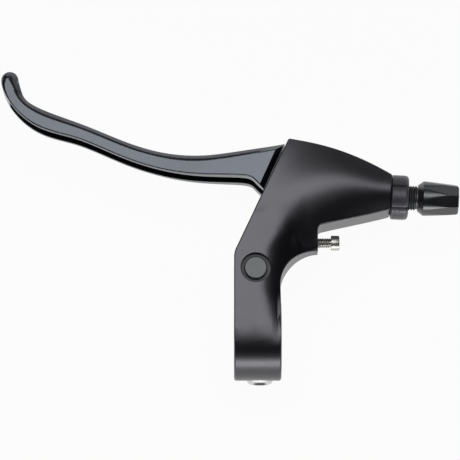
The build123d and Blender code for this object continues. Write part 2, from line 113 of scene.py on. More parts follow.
@dataclass(frozen=True)
class Finish:
    """A surface finish built from noise, bands and bump on Object coordinates.

    Two tones, a roughness range and a grain describe it, and painted shade may dim its reflections in
    narrow gaps. Sizes are millimetres.
    """

    name: str
    dark: Colour
    light: Colour
    roughness: Span
    grain: Grain
    grain_size: float
    relief: float
    metallic: float = 0.0
    specular: float = 0.5
    tint: Colour = (1.0, 1.0, 1.0)
    turn: Place = (0.0, 0.0, 0.0)
    cloud_size: float = 9.0
    # painted shade: how far ambient occlusion looks for narrow gaps, and the share of reflections left
    # there
    painted_shade_reach: float = 0.0
    painted_shade_share: float = 0.05

    def material(self) -> bpy.types.Material:
        """Builds the node material, or gives the one already built.

        Returns:
            The finished material.
        """
        title = "finish_" + self.name
        found = bpy.data.materials.get(title)
        if found:
            return found
        made = bpy.data.materials.new(title)
        made.use_nodes = True
        tree = made.node_tree
        place = add_node(tree, "ShaderNodeTexCoord").outputs["Object"]
        cloud = add_node(
            tree,
            "ShaderNodeTexNoise",
            {"Vector": place, "Scale": 1 / (self.cloud_size * MM), "Detail": 4.0, "Roughness": 0.6},
        ).outputs["Fac"]
        grain = self._grain(tree, place)
        bump = add_node(
            tree, "ShaderNodeBump", {"Height": grain, "Strength": 1.0, "Distance": self.relief * MM}
        )
        feed(
            tree,
            tree.nodes["Principled BSDF"],
            {
                "Base Color": self._tones(tree, cloud),
                "Metallic": self.metallic,
                "Roughness": self._polish(tree, cloud, grain),
                # painted shade in narrow gaps dims the reflections
                "Specular IOR Level": self._painted_gap_shade(tree) if self.painted_shade_reach else self.specular,
                "Specular Tint": (*self.tint, 1.0),
                "Normal": bump.outputs["Normal"],
            },
        )
        return made

    def _tones(self, tree: bpy.types.NodeTree, cloud: bpy.types.NodeSocket) -> bpy.types.NodeSocket:
        """Runs the clouds from the dark tone to the light one.

        Args:
            tree: The material's tree.
            cloud: The clouds, from 0 to 1.

        Returns:
            The socket with the colour.
        """
        ramp = add_node(tree, "ShaderNodeValToRGB", {"Fac": cloud})
        stops = ramp.color_ramp.elements
        for stop, position, tone in zip(stops, (0.35, 0.68), (self.dark, self.light)):
            stop.position = position
            stop.color = (*tone, 1.0)
        return ramp.outputs["Color"]

    def _polish(
        self, tree: bpy.types.NodeTree, cloud: bpy.types.NodeSocket, grain: bpy.types.NodeSocket
    ) -> bpy.types.NodeSocket:
        """Spreads clouds and grain, in equal shares, over the roughness range.

        Args:
            tree: The material's tree.
            cloud: The clouds, from 0 to 1.
            grain: The grain, from 0 to 1.

        Returns:
            The socket with the roughness.
        """
        half = add_node(tree, "ShaderNodeMath", {0: grain, 1: 0.5}, operation="MULTIPLY")
        both = add_node(
            tree,
            "ShaderNodeMath",
            {0: cloud, 1: 0.5, 2: half.outputs["Value"]},
            operation="MULTIPLY_ADD",
        )
        smooth, rough = self.roughness
        spread = add_node(
            tree,
            "ShaderNodeMapRange",
            {
                "Value": both.outputs["Value"],
                "From Min": 0.2,
                "From Max": 0.8,
                "To Min": smooth,
                "To Max": rough,
            },
        )
        return spread.outputs["Result"]

    def _painted_gap_shade(self, tree: bpy.types.NodeTree) -> bpy.types.NodeSocket:
        """Paints shade into narrow gaps: ambient occlusion dims the coat's reflections there, down to a
        small share.

        Args:
            tree: The material's tree.

        Returns:
            The socket with the level of the reflections.
        """
        gap = add_node(
            tree, "ShaderNodeAmbientOcclusion", {"Distance": self.painted_shade_reach * MM}, samples=16
        )
        level = add_node(
            tree,
            "ShaderNodeMapRange",
            {
                "Value": gap.outputs["AO"],
                "From Min": 0.30,
                "From Max": 0.80,
                "To Min": self.painted_shade_share * self.specular,
                "To Max": self.specular,
            },
        )
        return level.outputs["Result"]

    def _grain(self, tree: bpy.types.NodeTree, place: bpy.types.NodeSocket) -> bpy.types.NodeSocket:
        """Adds the texture that carries the grain.

        Args:
            tree: The material's tree.
            place: The object's coordinates.

        Returns:
            The socket with the grain's height, from 0 to 1.
        """
        mapping = add_node(tree, "ShaderNodeMapping", {"Vector": place, "Rotation": self.turn})
        spot = mapping.outputs["Vector"]
        size = self.grain_size * MM
        if self.grain is Grain.TURNED:
            bands = add_node(
                tree,
                "ShaderNodeTexWave",
                {
                    "Vector": spot,
                    "Scale": WAVE_STEP / size,
                    "Distortion": 0.6,
                    "Detail": 2.0,
                    "Detail Scale": 0.4,
                },
                bands_direction="X",
            )
            return bands.outputs["Fac"]
        if self.grain is Grain.MOULDED:
            cells = add_node(
                tree, "ShaderNodeTexVoronoi", {"Vector": spot, "Scale": 1 / size}, feature="SMOOTH_F1"
            )
            return cells.outputs["Distance"]
        if self.grain is Grain.DRAWN:
            mapping.inputs["Scale"].default_value = (0.06, 1.0, 1.0)
        speckle = add_node(
            tree, "ShaderNodeTexNoise", {"Vector": spot, "Scale": 1 / size, "Detail": 3.0}
        )
        return speckle.outputs["Fac"]


ADJUSTER_TURN = (0.0, 0.0, math.radians(2.5))

BRACKET_COAT = Finish(
    "bracket_coat",
    dark=(0.0008, 0.0008, 0.0020),
    light=(0.0020, 0.0020, 0.0036),
    roughness=(0.29, 0.35),
    grain=Grain.SPRAYED,
    grain_size=0.22,
    relief=0.0016,
    specular=0.88,
    tint=(0.97, 0.94, 1.0),
    # painted shade in the pivot recess and the narrow gaps of the casting
    painted_shade_reach=2.2,
)
BLADE_COAT = Finish(
    "blade_coat",
    dark=(0.0026, 0.0034, 0.0048),
    light=(0.0052, 0.0062, 0.0080),
    roughness=(0.19, 0.25),
    grain=Grain.SPRAYED,
    grain_size=0.5,
    relief=0.0012,
    specular=1.0,
    tint=(0.86, 0.91, 1.0),
)
PIN_BLACK = Finish(
    "pin_black",
    dark=(0.008, 0.008, 0.009),
    light=(0.014, 0.014, 0.016),
    roughness=(0.26, 0.36),
    grain=Grain.TURNED,
    grain_size=0.35,
    relief=0.001,
    specular=0.8,
)
CLIP_STEEL = Finish(
    "clip_steel",
    dark=(0.20, 0.20, 0.21),
    light=(0.30, 0.30, 0.31),
    roughness=(0.32, 0.45),
    grain=Grain.DRAWN,
    grain_size=0.15,
    relief=0.004,
    metallic=1.0,
)
BUSH_RESIN = Finish(
    "bush_resin",
    dark=(0.030, 0.030, 0.032),
    light=(0.050, 0.050, 0.052),
    roughness=(0.42, 0.55),
    grain=Grain.MOULDED,
    grain_size=0.25,
    relief=0.003,
)
SPRING_STEEL = Finish(
    "spring_steel",
    dark=(0.38, 0.37, 0.36),
    light=(0.52, 0.51, 0.50),
    roughness=(0.25, 0.38),
    grain=Grain.DRAWN,
    grain_size=0.12,
    relief=0.003,
    metallic=1.0,
)
ADJUSTER_BLACK = Finish(
    "adjuster_black",
    dark=(0.012, 0.012, 0.014),
    light=(0.022, 0.022, 0.025),
    roughness=(0.38, 0.50),
    grain=Grain.TURNED,
    grain_size=0.42,
    relief=0.010,
    specular=1.0,
    turn=ADJUSTER_TURN,
)
NUT_BLACK = Finish(
    "nut_black",
    dark=(0.032, 0.032, 0.036),
    light=(0.052, 0.052, 0.057),
    roughness=(0.36, 0.46),
    grain=Grain.TURNED,
    grain_size=0.5,
    relief=0.006,
    specular=1.0,
    tint=(0.97, 0.95, 1.0),
    turn=ADJUSTER_TURN,
)
KNOB_BLACK = Finish(
    "knob_black",
    dark=(0.006, 0.006, 0.008),
    light=(0.010, 0.010, 0.013),
    roughness=(0.22, 0.30),
    grain=Grain.MOULDED,
    grain_size=0.30,
    relief=0.002,
    specular=1.0,
)
BARE_STEEL = Finish(
    "bare_steel",
    dark=(0.46, 0.44, 0.41),
    light=(0.60, 0.58, 0.55),
    roughness=(0.30, 0.42),
    grain=Grain.TURNED,
    grain_size=0.20,
    relief=0.003,
    metallic=1.0,
)
BRIGHT_STEEL = Finish(
    "bright_steel",
    dark=(0.56, 0.56, 0.56),
    light=(0.70, 0.70, 0.69),
    roughness=(0.26, 0.40),
    grain=Grain.SPRAYED,
    grain_size=0.25,
    relief=0.004,
    metallic=1.0,
)


class TreeBuilder:
    """A geometry node tree with named inputs, built node by node."""

    def __init__(self, name: str) -> None:
        """Starts an empty tree with one geometry output.

        Args:
            name: The tree's name.
        """
        self.tree = bpy.data.node_groups.new(name, "GeometryNodeTree")
        self.tree.is_modifier = True
        self.tree.interface.new_socket("Geometry", in_out="OUTPUT", socket_type="NodeSocketGeometry")
        self.identifiers: dict[str, str] = {}
        self.entry = self.tree.nodes.new("NodeGroupInput")
        self.exit = self.tree.nodes.new("NodeGroupOutput")

    def add_input(self, name: str, kind: str) -> None:
        """Adds a named input.

        Args:
            name: The input's name.
            kind: The socket type, such as NodeSocketFloat.
        """
        socket = self.tree.interface.new_socket(name, in_out="INPUT", socket_type=kind)
        self.identifiers[name] = socket.identifier

    def value(self, name: str) -> bpy.types.NodeSocket:
        """Gives the socket of a named input."""
        return self.entry.outputs[name]

    def node(self, kind: str, feeds: Feeds | None = None, **settings: object) -> bpy.types.Node:
        """Adds a node to the tree, as add_node does."""
        return add_node(self.tree, kind, feeds, **settings)

    def maths(self, operation: str, first: object, second: object) -> bpy.types.NodeSocket:
        """Adds a maths node on two sockets or values and gives its result."""
        return self.node("ShaderNodeMath", {0: first, 1: second}, operation=operation).outputs["Value"]

    def finish(self, geometry: bpy.types.NodeSocket, material: bpy.types.NodeSocket) -> None:
        """Ends the tree with realised instances and a set material.

        Args:
            geometry: What the tree has made.
            material: The material input.
        """
        real = self.node("GeometryNodeRealizeInstances", {"Geometry": geometry})
        painted = self.node(
            "GeometryNodeSetMaterial", {"Geometry": real.outputs[0], "Material": material}
        )
        self.tree.links.new(painted.outputs[0], self.exit.inputs[0])

    def mesh(self, name: str, inputs: dict[str, object]) -> bpy.types.Mesh:
        """Runs the tree on an empty mesh and gives the result as a plain mesh.

        Args:
            name: Name of the new mesh.
            inputs: A value for each named input.

        Returns:
            The mesh that the tree makes.
        """
        carrier = bpy.data.objects.new(name, bpy.data.meshes.new(name))
        bpy.context.scene.collection.objects.link(carrier)
        modifier = carrier.modifiers.new(name, "NODES")
        modifier.node_group = self.tree
        for key, value in inputs.items():
            modifier[self.identifiers[key]] = value
        graph = bpy.context.evaluated_depsgraph_get()
        made = bpy.data.meshes.new_from_object(carrier.evaluated_get(graph), depsgraph=graph)
        carrier.modifiers.clear()
        bpy.data.objects.remove(carrier)
        return made


def thread_tree() -> TreeBuilder:
    """Builds the tree of a screw thread: one ridge turn, repeated along Z.

    A gap, centred on +X, leaves room for a slot along the screw.

    Returns:
        The tree, with inputs in metres and radians.
    """
    tree = TreeBuilder("screw_thread")
    for name in ("Core Radius", "Depth", "Pitch", "Crest", "Gap", "Start"):
        tree.add_input(name, "NodeSocketFloat")
    tree.add_input("Turns", "NodeSocketInt")
    tree.add_input("Finish", "NodeSocketMaterial")
    share = tree.maths("SUBTRACT", 1.0, tree.maths("DIVIDE", tree.value("Gap"), math.tau))
    spiral = tree.node(
        "GeometryNodeCurveSpiral",
        {
            "Resolution": 56,
            "Rotations": share,
            "Start Radius": tree.value("Core Radius"),
            "End Radius": tree.value("Core Radius"),
            "Height": tree.maths("MULTIPLY", share, tree.value("Pitch")),
        },
    )
    swing = tree.node("ShaderNodeCombineXYZ", {"Z": tree.maths("MULTIPLY", tree.value("Gap"), 0.5)})
    opened = tree.node(
        "GeometryNodeTransform", {"Geometry": spiral.outputs[0], "Rotation": swing.outputs[0]}
    )
    upright = tree.node("GeometryNodeSetCurveNormal", {"Curve": opened.outputs[0]}, mode="Z_UP")
    profile = tree.node(
        "GeometryNodeCurvePrimitiveQuadrilateral",
        {
            "Height": tree.maths("MULTIPLY", tree.value("Depth"), 2.0),
            "Bottom Width": tree.maths("MULTIPLY", tree.value("Pitch"), 1.86),
            "Top Width": tree.value("Crest"),
            "Offset": 0.0,
        },
        mode="TRAPEZOID",
    )
    aimed = tree.node(
        "GeometryNodeTransform",
        {"Geometry": profile.outputs[0], "Rotation": (0.0, 0.0, math.pi / 2)},
    )
    ridge = tree.node(
        "GeometryNodeCurveToMesh",
        {"Curve": upright.outputs[0], "Profile Curve": aimed.outputs[0], "Fill Caps": True},
    )
    rise = tree.node("ShaderNodeCombineXYZ", {"Z": tree.value("Pitch")})
    foot = tree.node("ShaderNodeCombineXYZ", {"Z": tree.value("Start")})
    row = tree.node(
        "GeometryNodeMeshLine",
        {"Count": tree.value("Turns"), "Start Location": foot.outputs[0], "Offset": rise.outputs[0]},
        mode="OFFSET",
    )
    repeat = tree.node(
        "GeometryNodeInstanceOnPoints", {"Points": row.outputs[0], "Instance": ridge.outputs[0]}
    )
    tree.finish(repeat.outputs[0], tree.value("Finish"))
    return tree


def spring_tree() -> TreeBuilder:
    """Builds the tree of a torsion spring: a round-wire coil with two straight legs.

    Returns:
        The tree, with inputs in metres.
    """
    tree = TreeBuilder("torsion_spring")
    for name in ("Wire Radius", "Coil Radius", "Turns", "Rise", "Leg"):
        tree.add_input(name, "NodeSocketFloat")
    tree.add_input("Finish", "NodeSocketMaterial")
    coil = tree.node(
        "GeometryNodeCurveSpiral",
        {
            "Resolution": 40,
            "Rotations": tree.value("Turns"),
            "Start Radius": tree.value("Coil Radius"),
            "End Radius": tree.value("Coil Radius"),
            "Height": tree.value("Rise"),
        },
    )
    root = tree.node("ShaderNodeCombineXYZ", {"X": tree.value("Coil Radius")})
    low = tree.node(
        "ShaderNodeCombineXYZ",
        {"X": tree.value("Coil Radius"), "Y": tree.maths("MULTIPLY", tree.value("Leg"), -1.0)},
    )
    crown = tree.node("ShaderNodeCombineXYZ", {"X": tree.value("Coil Radius"), "Z": tree.value("Rise")})
    high = tree.node(
        "ShaderNodeCombineXYZ",
        {"X": tree.value("Coil Radius"), "Y": tree.value("Leg"), "Z": tree.value("Rise")},
    )
    wire = tree.node(
        "GeometryNodeCurvePrimitiveCircle", {"Resolution": 14, "Radius": tree.value("Wire Radius")}
    )
    join = tree.node("GeometryNodeJoinGeometry")
    legs = [
        tree.node("GeometryNodeCurvePrimitiveLine", {"Start": start.outputs[0], "End": end.outputs[0]})
        for start, end in ((root, low), (crown, high))
    ]
    for path in (coil, *legs):
        tube = tree.node(
            "GeometryNodeCurveToMesh",
            {"Curve": path.outputs[0], "Profile Curve": wire.outputs[0], "Fill Caps": True},
        )
        tree.tree.links.new(tube.outputs[0], join.inputs[0])
    smooth = tree.node("GeometryNodeSetShadeSmooth", {"Geometry": join.outputs[0]})
    tree.finish(smooth.outputs[0], tree.value("Finish"))
    return tree


def paint(mesh: bpy.types.Mesh, finish: Finish) -> None:
    """Gives every face of a mesh one finish."""
    mesh.materials.clear()
    mesh.materials.append(finish.material())


def stand(name: str, work: bmesh.types.BMesh, finish: Finish) -> bpy.types.Object:
    """Turns a working mesh into a smooth object at the origin.

    Args:
        name: Name of the new piece.
        work: The working mesh, which is freed.
        finish: The finish of every face.

    Returns:
        The new object.
    """
    for face in work.faces:
        face.material_index = 0
        face.smooth = True
    mesh = bpy.data.meshes.new(name)
    work.to_mesh(mesh)
    work.free()
    paint(mesh, finish)
    made = bpy.data.objects.new(name, mesh)
    bpy.context.scene.collection.objects.link(made)
    log.info("%s: %d faces, %s", name, len(mesh.polygons), finish.name)
    return made


def piece(
    name: str, parts: Sequence[bmesh.types.BMesh | bpy.types.Mesh], place: Matrix, finish: Finish
) -> bpy.types.Object:
    """Joins meshes into one finished object with its place in its vertices.

    Args:
        name: Name of the new piece.
        parts: Meshes in the piece's own axes, in metres.
        place: Where those axes sit in the frame.
        finish: The finish of every face.

    Returns:
        The new object, at the origin.
    """
    whole = bmesh.new()
    for part in parts:
        if isinstance(part, bmesh.types.BMesh):
            held = bpy.data.meshes.new(name + "_part")
            part.to_mesh(held)
            part.free()
        else:
            held = part
        whole.from_mesh(held)
        bpy.data.meshes.remove(held)
    bmesh.ops.transform(whole, matrix=place, verts=whole.verts)
    bmesh.ops.recalc_face_normals(whole, faces=whole.faces)
    made = stand(name, whole, finish)
    made.data.set_sharp_from_angle(angle=SHARP_ANGLE)
    return made


def lathe(profile: Sequence[tuple[Radius, float]], segments: int = 48) -> bmesh.types.BMesh:
    """Turns a profile round Z. A radius may be a function of the angle.

    Args:
        profile: Radius and height of each ring, in metres, from end to end.
        segments: Faces round the axis.

    Returns:
        A closed mesh.
    """
    mesh = bmesh.new()
    rings: list[list[bmesh.types.BMVert]] = []
    for radius, height in profile:
        if radius == 0.0:
            rings.append([mesh.verts.new((0.0, 0.0, height))])
            continue
        ring = []
        for step in range(segments):
            angle = math.tau * step / segments
            reach = radius(angle) if callable(radius) else radius
            ring.append(mesh.verts.new((reach * math.cos(angle), reach * math.sin(angle), height)))
        rings.append(ring)
    for lower, upper in zip(rings, rings[1:]):
        for step in range(segments):
            after = (step + 1) % segments
            corners = [lower[step % len(lower)], lower[after % len(lower)]]
            corners += [upper[after % len(upper)], upper[step % len(upper)]]
            unique = list(dict.fromkeys(corners))
            if len(unique) > 2:
                mesh.faces.new(unique)
    return mesh


def hexagon(across_flats: float) -> Callable[[float], float]:
    """Gives the outline of a hexagon.

    Args:
        across_flats: The hexagon's width.

    Returns:
        Its radius as a function of the angle.
    """

    def reach(angle: float) -> float:
        """Gives the hexagon's radius at an angle."""
        off = angle % (math.pi / 3) - math.pi / 6
        return across_flats / 2 / math.cos(off)

    return reach


def split_tube(
    outside: Sequence[tuple[Radius, float]],
    inside: Sequence[tuple[float, float]],
    slot: float,
    segments: int = 64,
) -> bmesh.types.BMesh:
    """Makes a tube round Z with a straight slot along its +X side.

    Args:
        outside: Radius and height of the outer rings, upward. A radius may follow the angle.
        inside: Radius and height of the inner rings, downward.
        slot: Width of the slot. All sizes are millimetres.
        segments: Faces round the axis.

    Returns:
        A closed mesh in metres.
    """
    mesh = bmesh.new()
    rings: list[list[bmesh.types.BMVert]] = []
    for radius, height in (*outside, *inside):
        reach = radius if callable(radius) else lambda angle, fixed=radius: fixed
        edge = math.asin(slot / 2 / reach(0.0))
        ring = []
        for step in range(segments + 1):
            angle = edge + (math.tau - 2 * edge) * step / segments
            far = reach(angle)
            spot = Vector((far * math.cos(angle), far * math.sin(angle), height))
            ring.append(mesh.verts.new(spot * MM))
        rings.append(ring)
    for lower, upper in zip(rings, (*rings[1:], rings[0])):
        for step in range(segments):
            mesh.faces.new((lower[step], lower[step + 1], upper[step + 1], upper[step]))
    mesh.faces.new([ring[0] for ring in reversed(rings)])
    mesh.faces.new([ring[-1] for ring in rings])
    return mesh


def dress(node: str, finish: Finish) -> None:
    """Gives a carried node its finish.

    Args:
        node: Name of the node.
        finish: The finish of every face.
    """
    paint(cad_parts[node].data, finish)
    log.info("%s carries %s", node, finish.name)


def search_tree(solid: bpy.types.Mesh) -> BVHTree:
    """Gives a tree that finds where a ray meets a mesh."""
    return BVHTree.FromPolygons([v.co for v in solid.vertices], [p.vertices for p in solid.polygons])


def level_planes(axis: int, low: float, high: float, step: float) -> list[tuple[int, float]]:
    """Lists evenly spaced planes across an axis.

    Args:
        axis: Number of the axis.
        low: Level of the first plane.
        high: Level that the last plane doesn't pass.
        step: Distance between planes.

    Returns:
        Axis number and level of each plane.
    """
    return [(axis, low + number * step) for number in range(int((high - low) / step) + 1)]


def slice_solid(
    solid: bpy.types.Mesh, cuts: Sequence[tuple[int, float]], region: Callable[[Vector], bool]
) -> bmesh.types.BMesh:
    """Cuts a node's mesh finer along level planes and keeps its own normals.

    Args:
        solid: The node's mesh from the frame.
        cuts: Axis number and level, in millimetres, of each plane.
        region: Tells whether a point lies where the mesh is cut.

    Returns:
        The cut mesh, with the normals in the loops' layer NORMALS.
    """
    plain = solid.copy()
    kept = plain.attributes.new(NORMALS, "FLOAT_VECTOR", "CORNER")
    kept.data.foreach_set("vector", [part for normal in solid.corner_normals for part in normal.vector])
    work = bmesh.new()
    work.from_mesh(plain)
    bpy.data.meshes.remove(plain)
    for axis, level in cuts:
        across = Matrix.Identity(3)[axis]
        faces = []
        for face in work.faces:
            places = [v.co[axis] for v in face.verts]
            if min(places) < level * MM < max(places) and any(region(v.co) for v in face.verts):
                faces.append(face)
        edges = {edge for face in faces for edge in face.edges}
        corners = {vert for face in faces for vert in face.verts}
        bmesh.ops.bisect_plane(
            work,
            geom=[*corners, *edges, *faces],
            dist=1e-7,
            plane_co=across * level * MM,
            plane_no=across,
        )
    return work


def casting(name: str, work: bmesh.types.BMesh, finish: Finish) -> bpy.types.Object:
    """Turns a cut mesh into an object shaded by its kept normals.

    Args:
        name: Name of the new piece.
        work: The cut mesh, which is freed.
        finish: The finish of every face.

    Returns:
        The new object, at the origin.
    """
    made = stand(name, work, finish)
    mesh = made.data
    mesh.normals_split_custom_set([held.vector for held in mesh.attributes[NORMALS].data])
    mesh.attributes.remove(mesh.attributes[NORMALS])
    return made


def ease(start: float, end: float, value: float) -> float:
    """Rises smoothly from 0 at start to 1 at end."""
    share = min(max((value - start) / (end - start), 0.0), 1.0)
    return share * share * (3.0 - 2.0 * share)


def tilted(facing: Vector, tilt: float) -> Vector:
    """Tilts an upright normal toward a level direction by an angle in degrees."""
    return facing * math.sin(math.radians(tilt)) + UP * math.cos(math.radians(tilt))


@dataclass(frozen=True)
class SoftZone:
    """A stretch of the casting's top over which its normals are evened out.

    It reaches along and across the arm, and its left side may lean. Sizes are millimetres.
    """

    along: Span
    across: Span
    reach: float
    width: float
    side_fade: float
    lean: float = 0.0
    end_fade: float = 4.0
    lowest: float = 12.0
    upright: float = 0.8

    def share(self, spot: Vector) -> float:
        """Gives how fully a point is evened out.

        Args:
            spot: The point, in metres.

        Returns:
            The share, from 0 outside to 1.
        """
        x, y = spot.x / MM, spot.y / MM
        (low, high), (left, right) = self.along, self.across
        left += self.lean * (y - low)
        sides = ease(left, left + self.side_fade, x) * ease(right, right - self.side_fade, x)
        return ease(low, low + self.end_fade, y) * ease(high, high - self.end_fade, y) * sides

    def apply(self, work: bmesh.types.BMesh, layer: bmesh.types.BMLayerItem) -> None:
        """Evens out the normals.

        Args:
            work: The casting's mesh.
            layer: The layer of its loops that holds the normals.
        """
        flat = [
            vert
            for vert in work.verts
            if vert.link_loops
            and vert.co.z > self.lowest * MM
            and self.share(vert.co) > 0.0
            and min(loop[layer].z for loop in vert.link_loops) > self.upright
        ]
        stretch = self.reach / self.width
        tree = KDTree(len(flat))
        normals = []
        for index, vert in enumerate(flat):
            tree.insert((vert.co.x * stretch, vert.co.y, 0.0), index)
            normals.append(sum((loop[layer] for loop in vert.link_loops), Vector()).normalized())
        tree.balance()
        reach = self.reach * MM
        for vert in flat:
            near = tree.find_range((vert.co.x * stretch, vert.co.y, 0.0), reach)
            mean = sum((normals[index] * (1.0 - away / reach) for _, index, away in near), Vector())
            for loop in vert.link_loops:
                loop[layer] = loop[layer].lerp(mean.normalized(), self.share(vert.co)).normalized()


@dataclass(frozen=True)
class ArmRidge:
    """Carries the arm's ridge to the right, below the pivot and again above it.

    The casting's outline and heights stay, and the slope right of the ridge gets steeper.
    Spans run along the arm, and rises and falls run across it. Sizes are millimetres.
    """

    foot_shift: float = 6.2
    foot_span: Span = (-9.0, 20.2)
    foot_rise: Span = (-6.5, 5.5)
    foot_fall: Span = (7.2, 9.4)
    ring_end: float = -2.0
    head_shift: float = 4.5
    head_span: Span = (32.4, 62.0)
    head_crest: Span = (45.4, 50.0)
    head_fall: Span = (12.0, 20.0)
    wall_start: Span = (-7.9, 33.0)
    wall_lean: float = 0.52
    rise_width: float = 9.0
    mesh_step: float = 1.4
    least_move: float = 0.002
    slope_step: float = 0.01
    skin: float = 0.02
    soft_zones: tuple[SoftZone, ...] = (
        SoftZone((-6.5, 14.0), (-8.6, 8.6), reach=6.0, width=2.0, side_fade=0.01),
        SoftZone((38.0, 60.0), (-4.1, 17.0), reach=5.0, width=3.0, side_fade=2.5, lean=0.52),
    )

    def shift(self, x: float, y: float) -> float:
        """Gives how far left of a finished point its point on the solid lies.

        Args:
            x: Place across the arm.
            y: Place along the arm.

        Returns:
            The distance.
        """
        if y < self.foot_span[1]:
            along = ease(self.foot_span[1], 0.0, y) * ease(self.foot_span[0], self.ring_end, y)
            return self.foot_shift * along * ease(*self.foot_rise, x) * (1.0 - ease(*self.foot_fall, x))
        if y < self.head_span[0]:
            return 0.0
        along = ease(self.head_span[0], self.head_crest[0], y)
        along *= 1.0 - ease(self.head_crest[1], self.head_span[1], y)
        start = self.wall_start[0] + self.wall_lean * (y - self.wall_start[1])
        across = ease(start, start + self.rise_width, x) * (1.0 - ease(*self.head_fall, x))
        return self.head_shift * along * across

    def carry(self, x: float, y: float) -> float:
        """Finds where a point of the solid comes to lie.

        Args:
            x: Place of the point across the arm.
            y: Place of the point along the arm.

        Returns:
            Its new place across the arm.
        """
        near, far = x, x + max(self.foot_shift, self.head_shift)
        for _ in range(30):
            middle = (near + far) / 2
            if middle - self.shift(middle, y) < x:
                near = middle
            else:
                far = middle
        return (near + far) / 2

    def build(self, solid: bpy.types.Mesh) -> bmesh.types.BMesh:
        """Cuts the casting's mesh finer over the arm and carries its ridge.

        Args:
            solid: The casting's mesh from the frame.

        Returns:
            The new mesh, its normals turned with the ridge.
        """
        top = search_tree(solid)
        right, rear = self.head_fall[1], self.foot_span[0]
        cuts = level_planes(1, rear, self.head_span[1], self.mesh_step)
        cuts += level_planes(0, self.foot_rise[0], right, self.mesh_step)
        work = slice_solid(solid, cuts, lambda spot: spot.x < right * MM and spot.y > rear * MM)
        layer = work.loops.layers.float_vector[NORMALS]
        step = self.slope_step
        for vert in work.verts:
            x, y = vert.co.x / MM, vert.co.y / MM
            moved = self.carry(x, y)
            if moved - x < self.least_move or top.ray_cast(vert.co + UP * self.skin * MM, UP)[0]:
                continue
            across = (self.carry(x + step, y) - self.carry(x - step, y)) / (2 * step)
            along = (self.carry(x, y + step) - self.carry(x, y - step)) / (2 * step)
            for loop in vert.link_loops:
                held = loop[layer]
                turned = Vector((held.x / across, held.y - along / across * held.x, held.z))
                loop[layer] = turned.normalized()
            vert.co.x = moved * MM
        for zone in self.soft_zones:
            zone.apply(work, layer)
        return work


@dataclass
class Bracket:
    """The cast bracket with its pivot pin and clip."""

    ridge: ArmRidge = ArmRidge()
    coat: Finish = BRACKET_COAT
    pin: Finish = PIN_BLACK
    clip: Finish = CLIP_STEEL

    def build(self) -> bpy.types.Object:
        """Shapes and dresses the casting, and dresses the pin and the clip.

        Returns:
            The casting.
        """
        shaped = self.ridge.build(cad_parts["bracket"].data)
        body = casting("bracket_casting", shaped, self.coat)
        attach(body, "bracket_body")
        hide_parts("bracket")
        dress("pivot_pin", self.pin)
        dress("pivot_clip", self.clip)
        return body


@dataclass(frozen=True)
class BladeCrease:
    """Rounds the light on the blade's front bevel, beside its crease and round its tip.

    Depths run down from the panel. Sizes are millimetres, angles degrees.
    """

    span: Span = (-101.0, 1.0)
    levels: Span = (8.8, 13.6)
    mesh_step: float = 0.3
    lowest: float = 8.0
    tilts: Span = (0.5, 60.0)
    least_forward: float = 0.3
    panel_offset: float = 3.1
    above: float = 50.0
    round_end: float = 0.2
    line_end: float = 0.75
    bevel_start: float = 1.25
    line_tilt: float = 18.5
    tip_line: tuple[Span, Span] = ((-98.1, 101.0), (-100.3, 105.2))
    tip_box: tuple[Span, Span] = ((-103.4, 101.0), (-95.95, 108.25))
    tip_step: float = 0.35
    tip_tilt: float = 44.0
    tip_upright: float = 0.45
    tip_sweep: float = 0.4
    tip_bias: float = 0.1

    def tilt(self, depth: float, solid_tilt: float) -> float:
        """Gives the tilt that the light sees.

        Args:
            depth: Depth below the panel.
            solid_tilt: The solid's own tilt there.

        Returns:
            The tilt of the normal from upright.
        """
        line = self.line_tilt * ease(0.0, self.round_end, depth)
        share = ease(self.line_end, self.bevel_start, depth)
        return min(line + (solid_tilt - line) * share, solid_tilt)

    def tip_normal(self, x: float, y: float) -> Vector:
        """Carries the crease line round the end of the blade.

        Args:
            x: Place across the tip.
            y: Place along the tip.

        Returns:
            The normal that the light sees.
        """
        (low_x, low_y), (high_x, high_y) = self.tip_line
        beside = x - low_x - (high_x - low_x) * (y - low_y) / (high_y - low_y)
        past = y - high_y
        right, front = max(beside, 0.0), max(past, 0.0)
        facing = Vector((right + self.tip_bias, self.tip_sweep * right + front, 0.0)).normalized()
        return tilted(facing, self.tilt(max(right, front), self.tip_tilt))

    def build(self, solid: bpy.types.Mesh) -> bmesh.types.BMesh:
        """Cuts the bevel finer and sets its normals.

        Args:
            solid: The blade's mesh from the frame.

        Returns:
            The new mesh, in the solid's own form.
        """
        top = search_tree(solid)
        cuts = level_planes(2, *self.levels, self.mesh_step)
        for axis, (low, high) in enumerate(zip(*self.tip_box)):
            cuts += level_planes(axis, low, high, self.tip_step)
        work = slice_solid(solid, cuts, lambda spot: self.span[0] < spot.x / MM < self.span[1])
        layer = work.loops.layers.float_vector[NORMALS]
        tip_start = self.tip_box[0][1]
        for vert in work.verts:
            x, y, z = (part / MM for part in vert.co)
            if not self.span[0] < x < self.span[1] or z < self.lowest:
                continue
            for loop in vert.link_loops:
                normal = loop[layer].copy()
                if y > tip_start and normal.z > self.tip_upright:
                    loop[layer] = self.tip_normal(x, y)
                    continue
                tilt = math.degrees(math.acos(min(normal.z, 1.0)))
                forward = Vector((normal.x, normal.y, 0.0)).normalized()
                if not self.tilts[0] < tilt < self.tilts[1] or forward.y < self.least_forward:
                    continue
                panel = vert.co - forward * self.panel_offset * MM
                hit = top.ray_cast(Vector((panel.x, panel.y, self.above * MM)), -UP)[0]
                if hit is not None:
                    loop[layer] = tilted(forward, self.tilt(hit.z / MM - z, tilt))
        return work


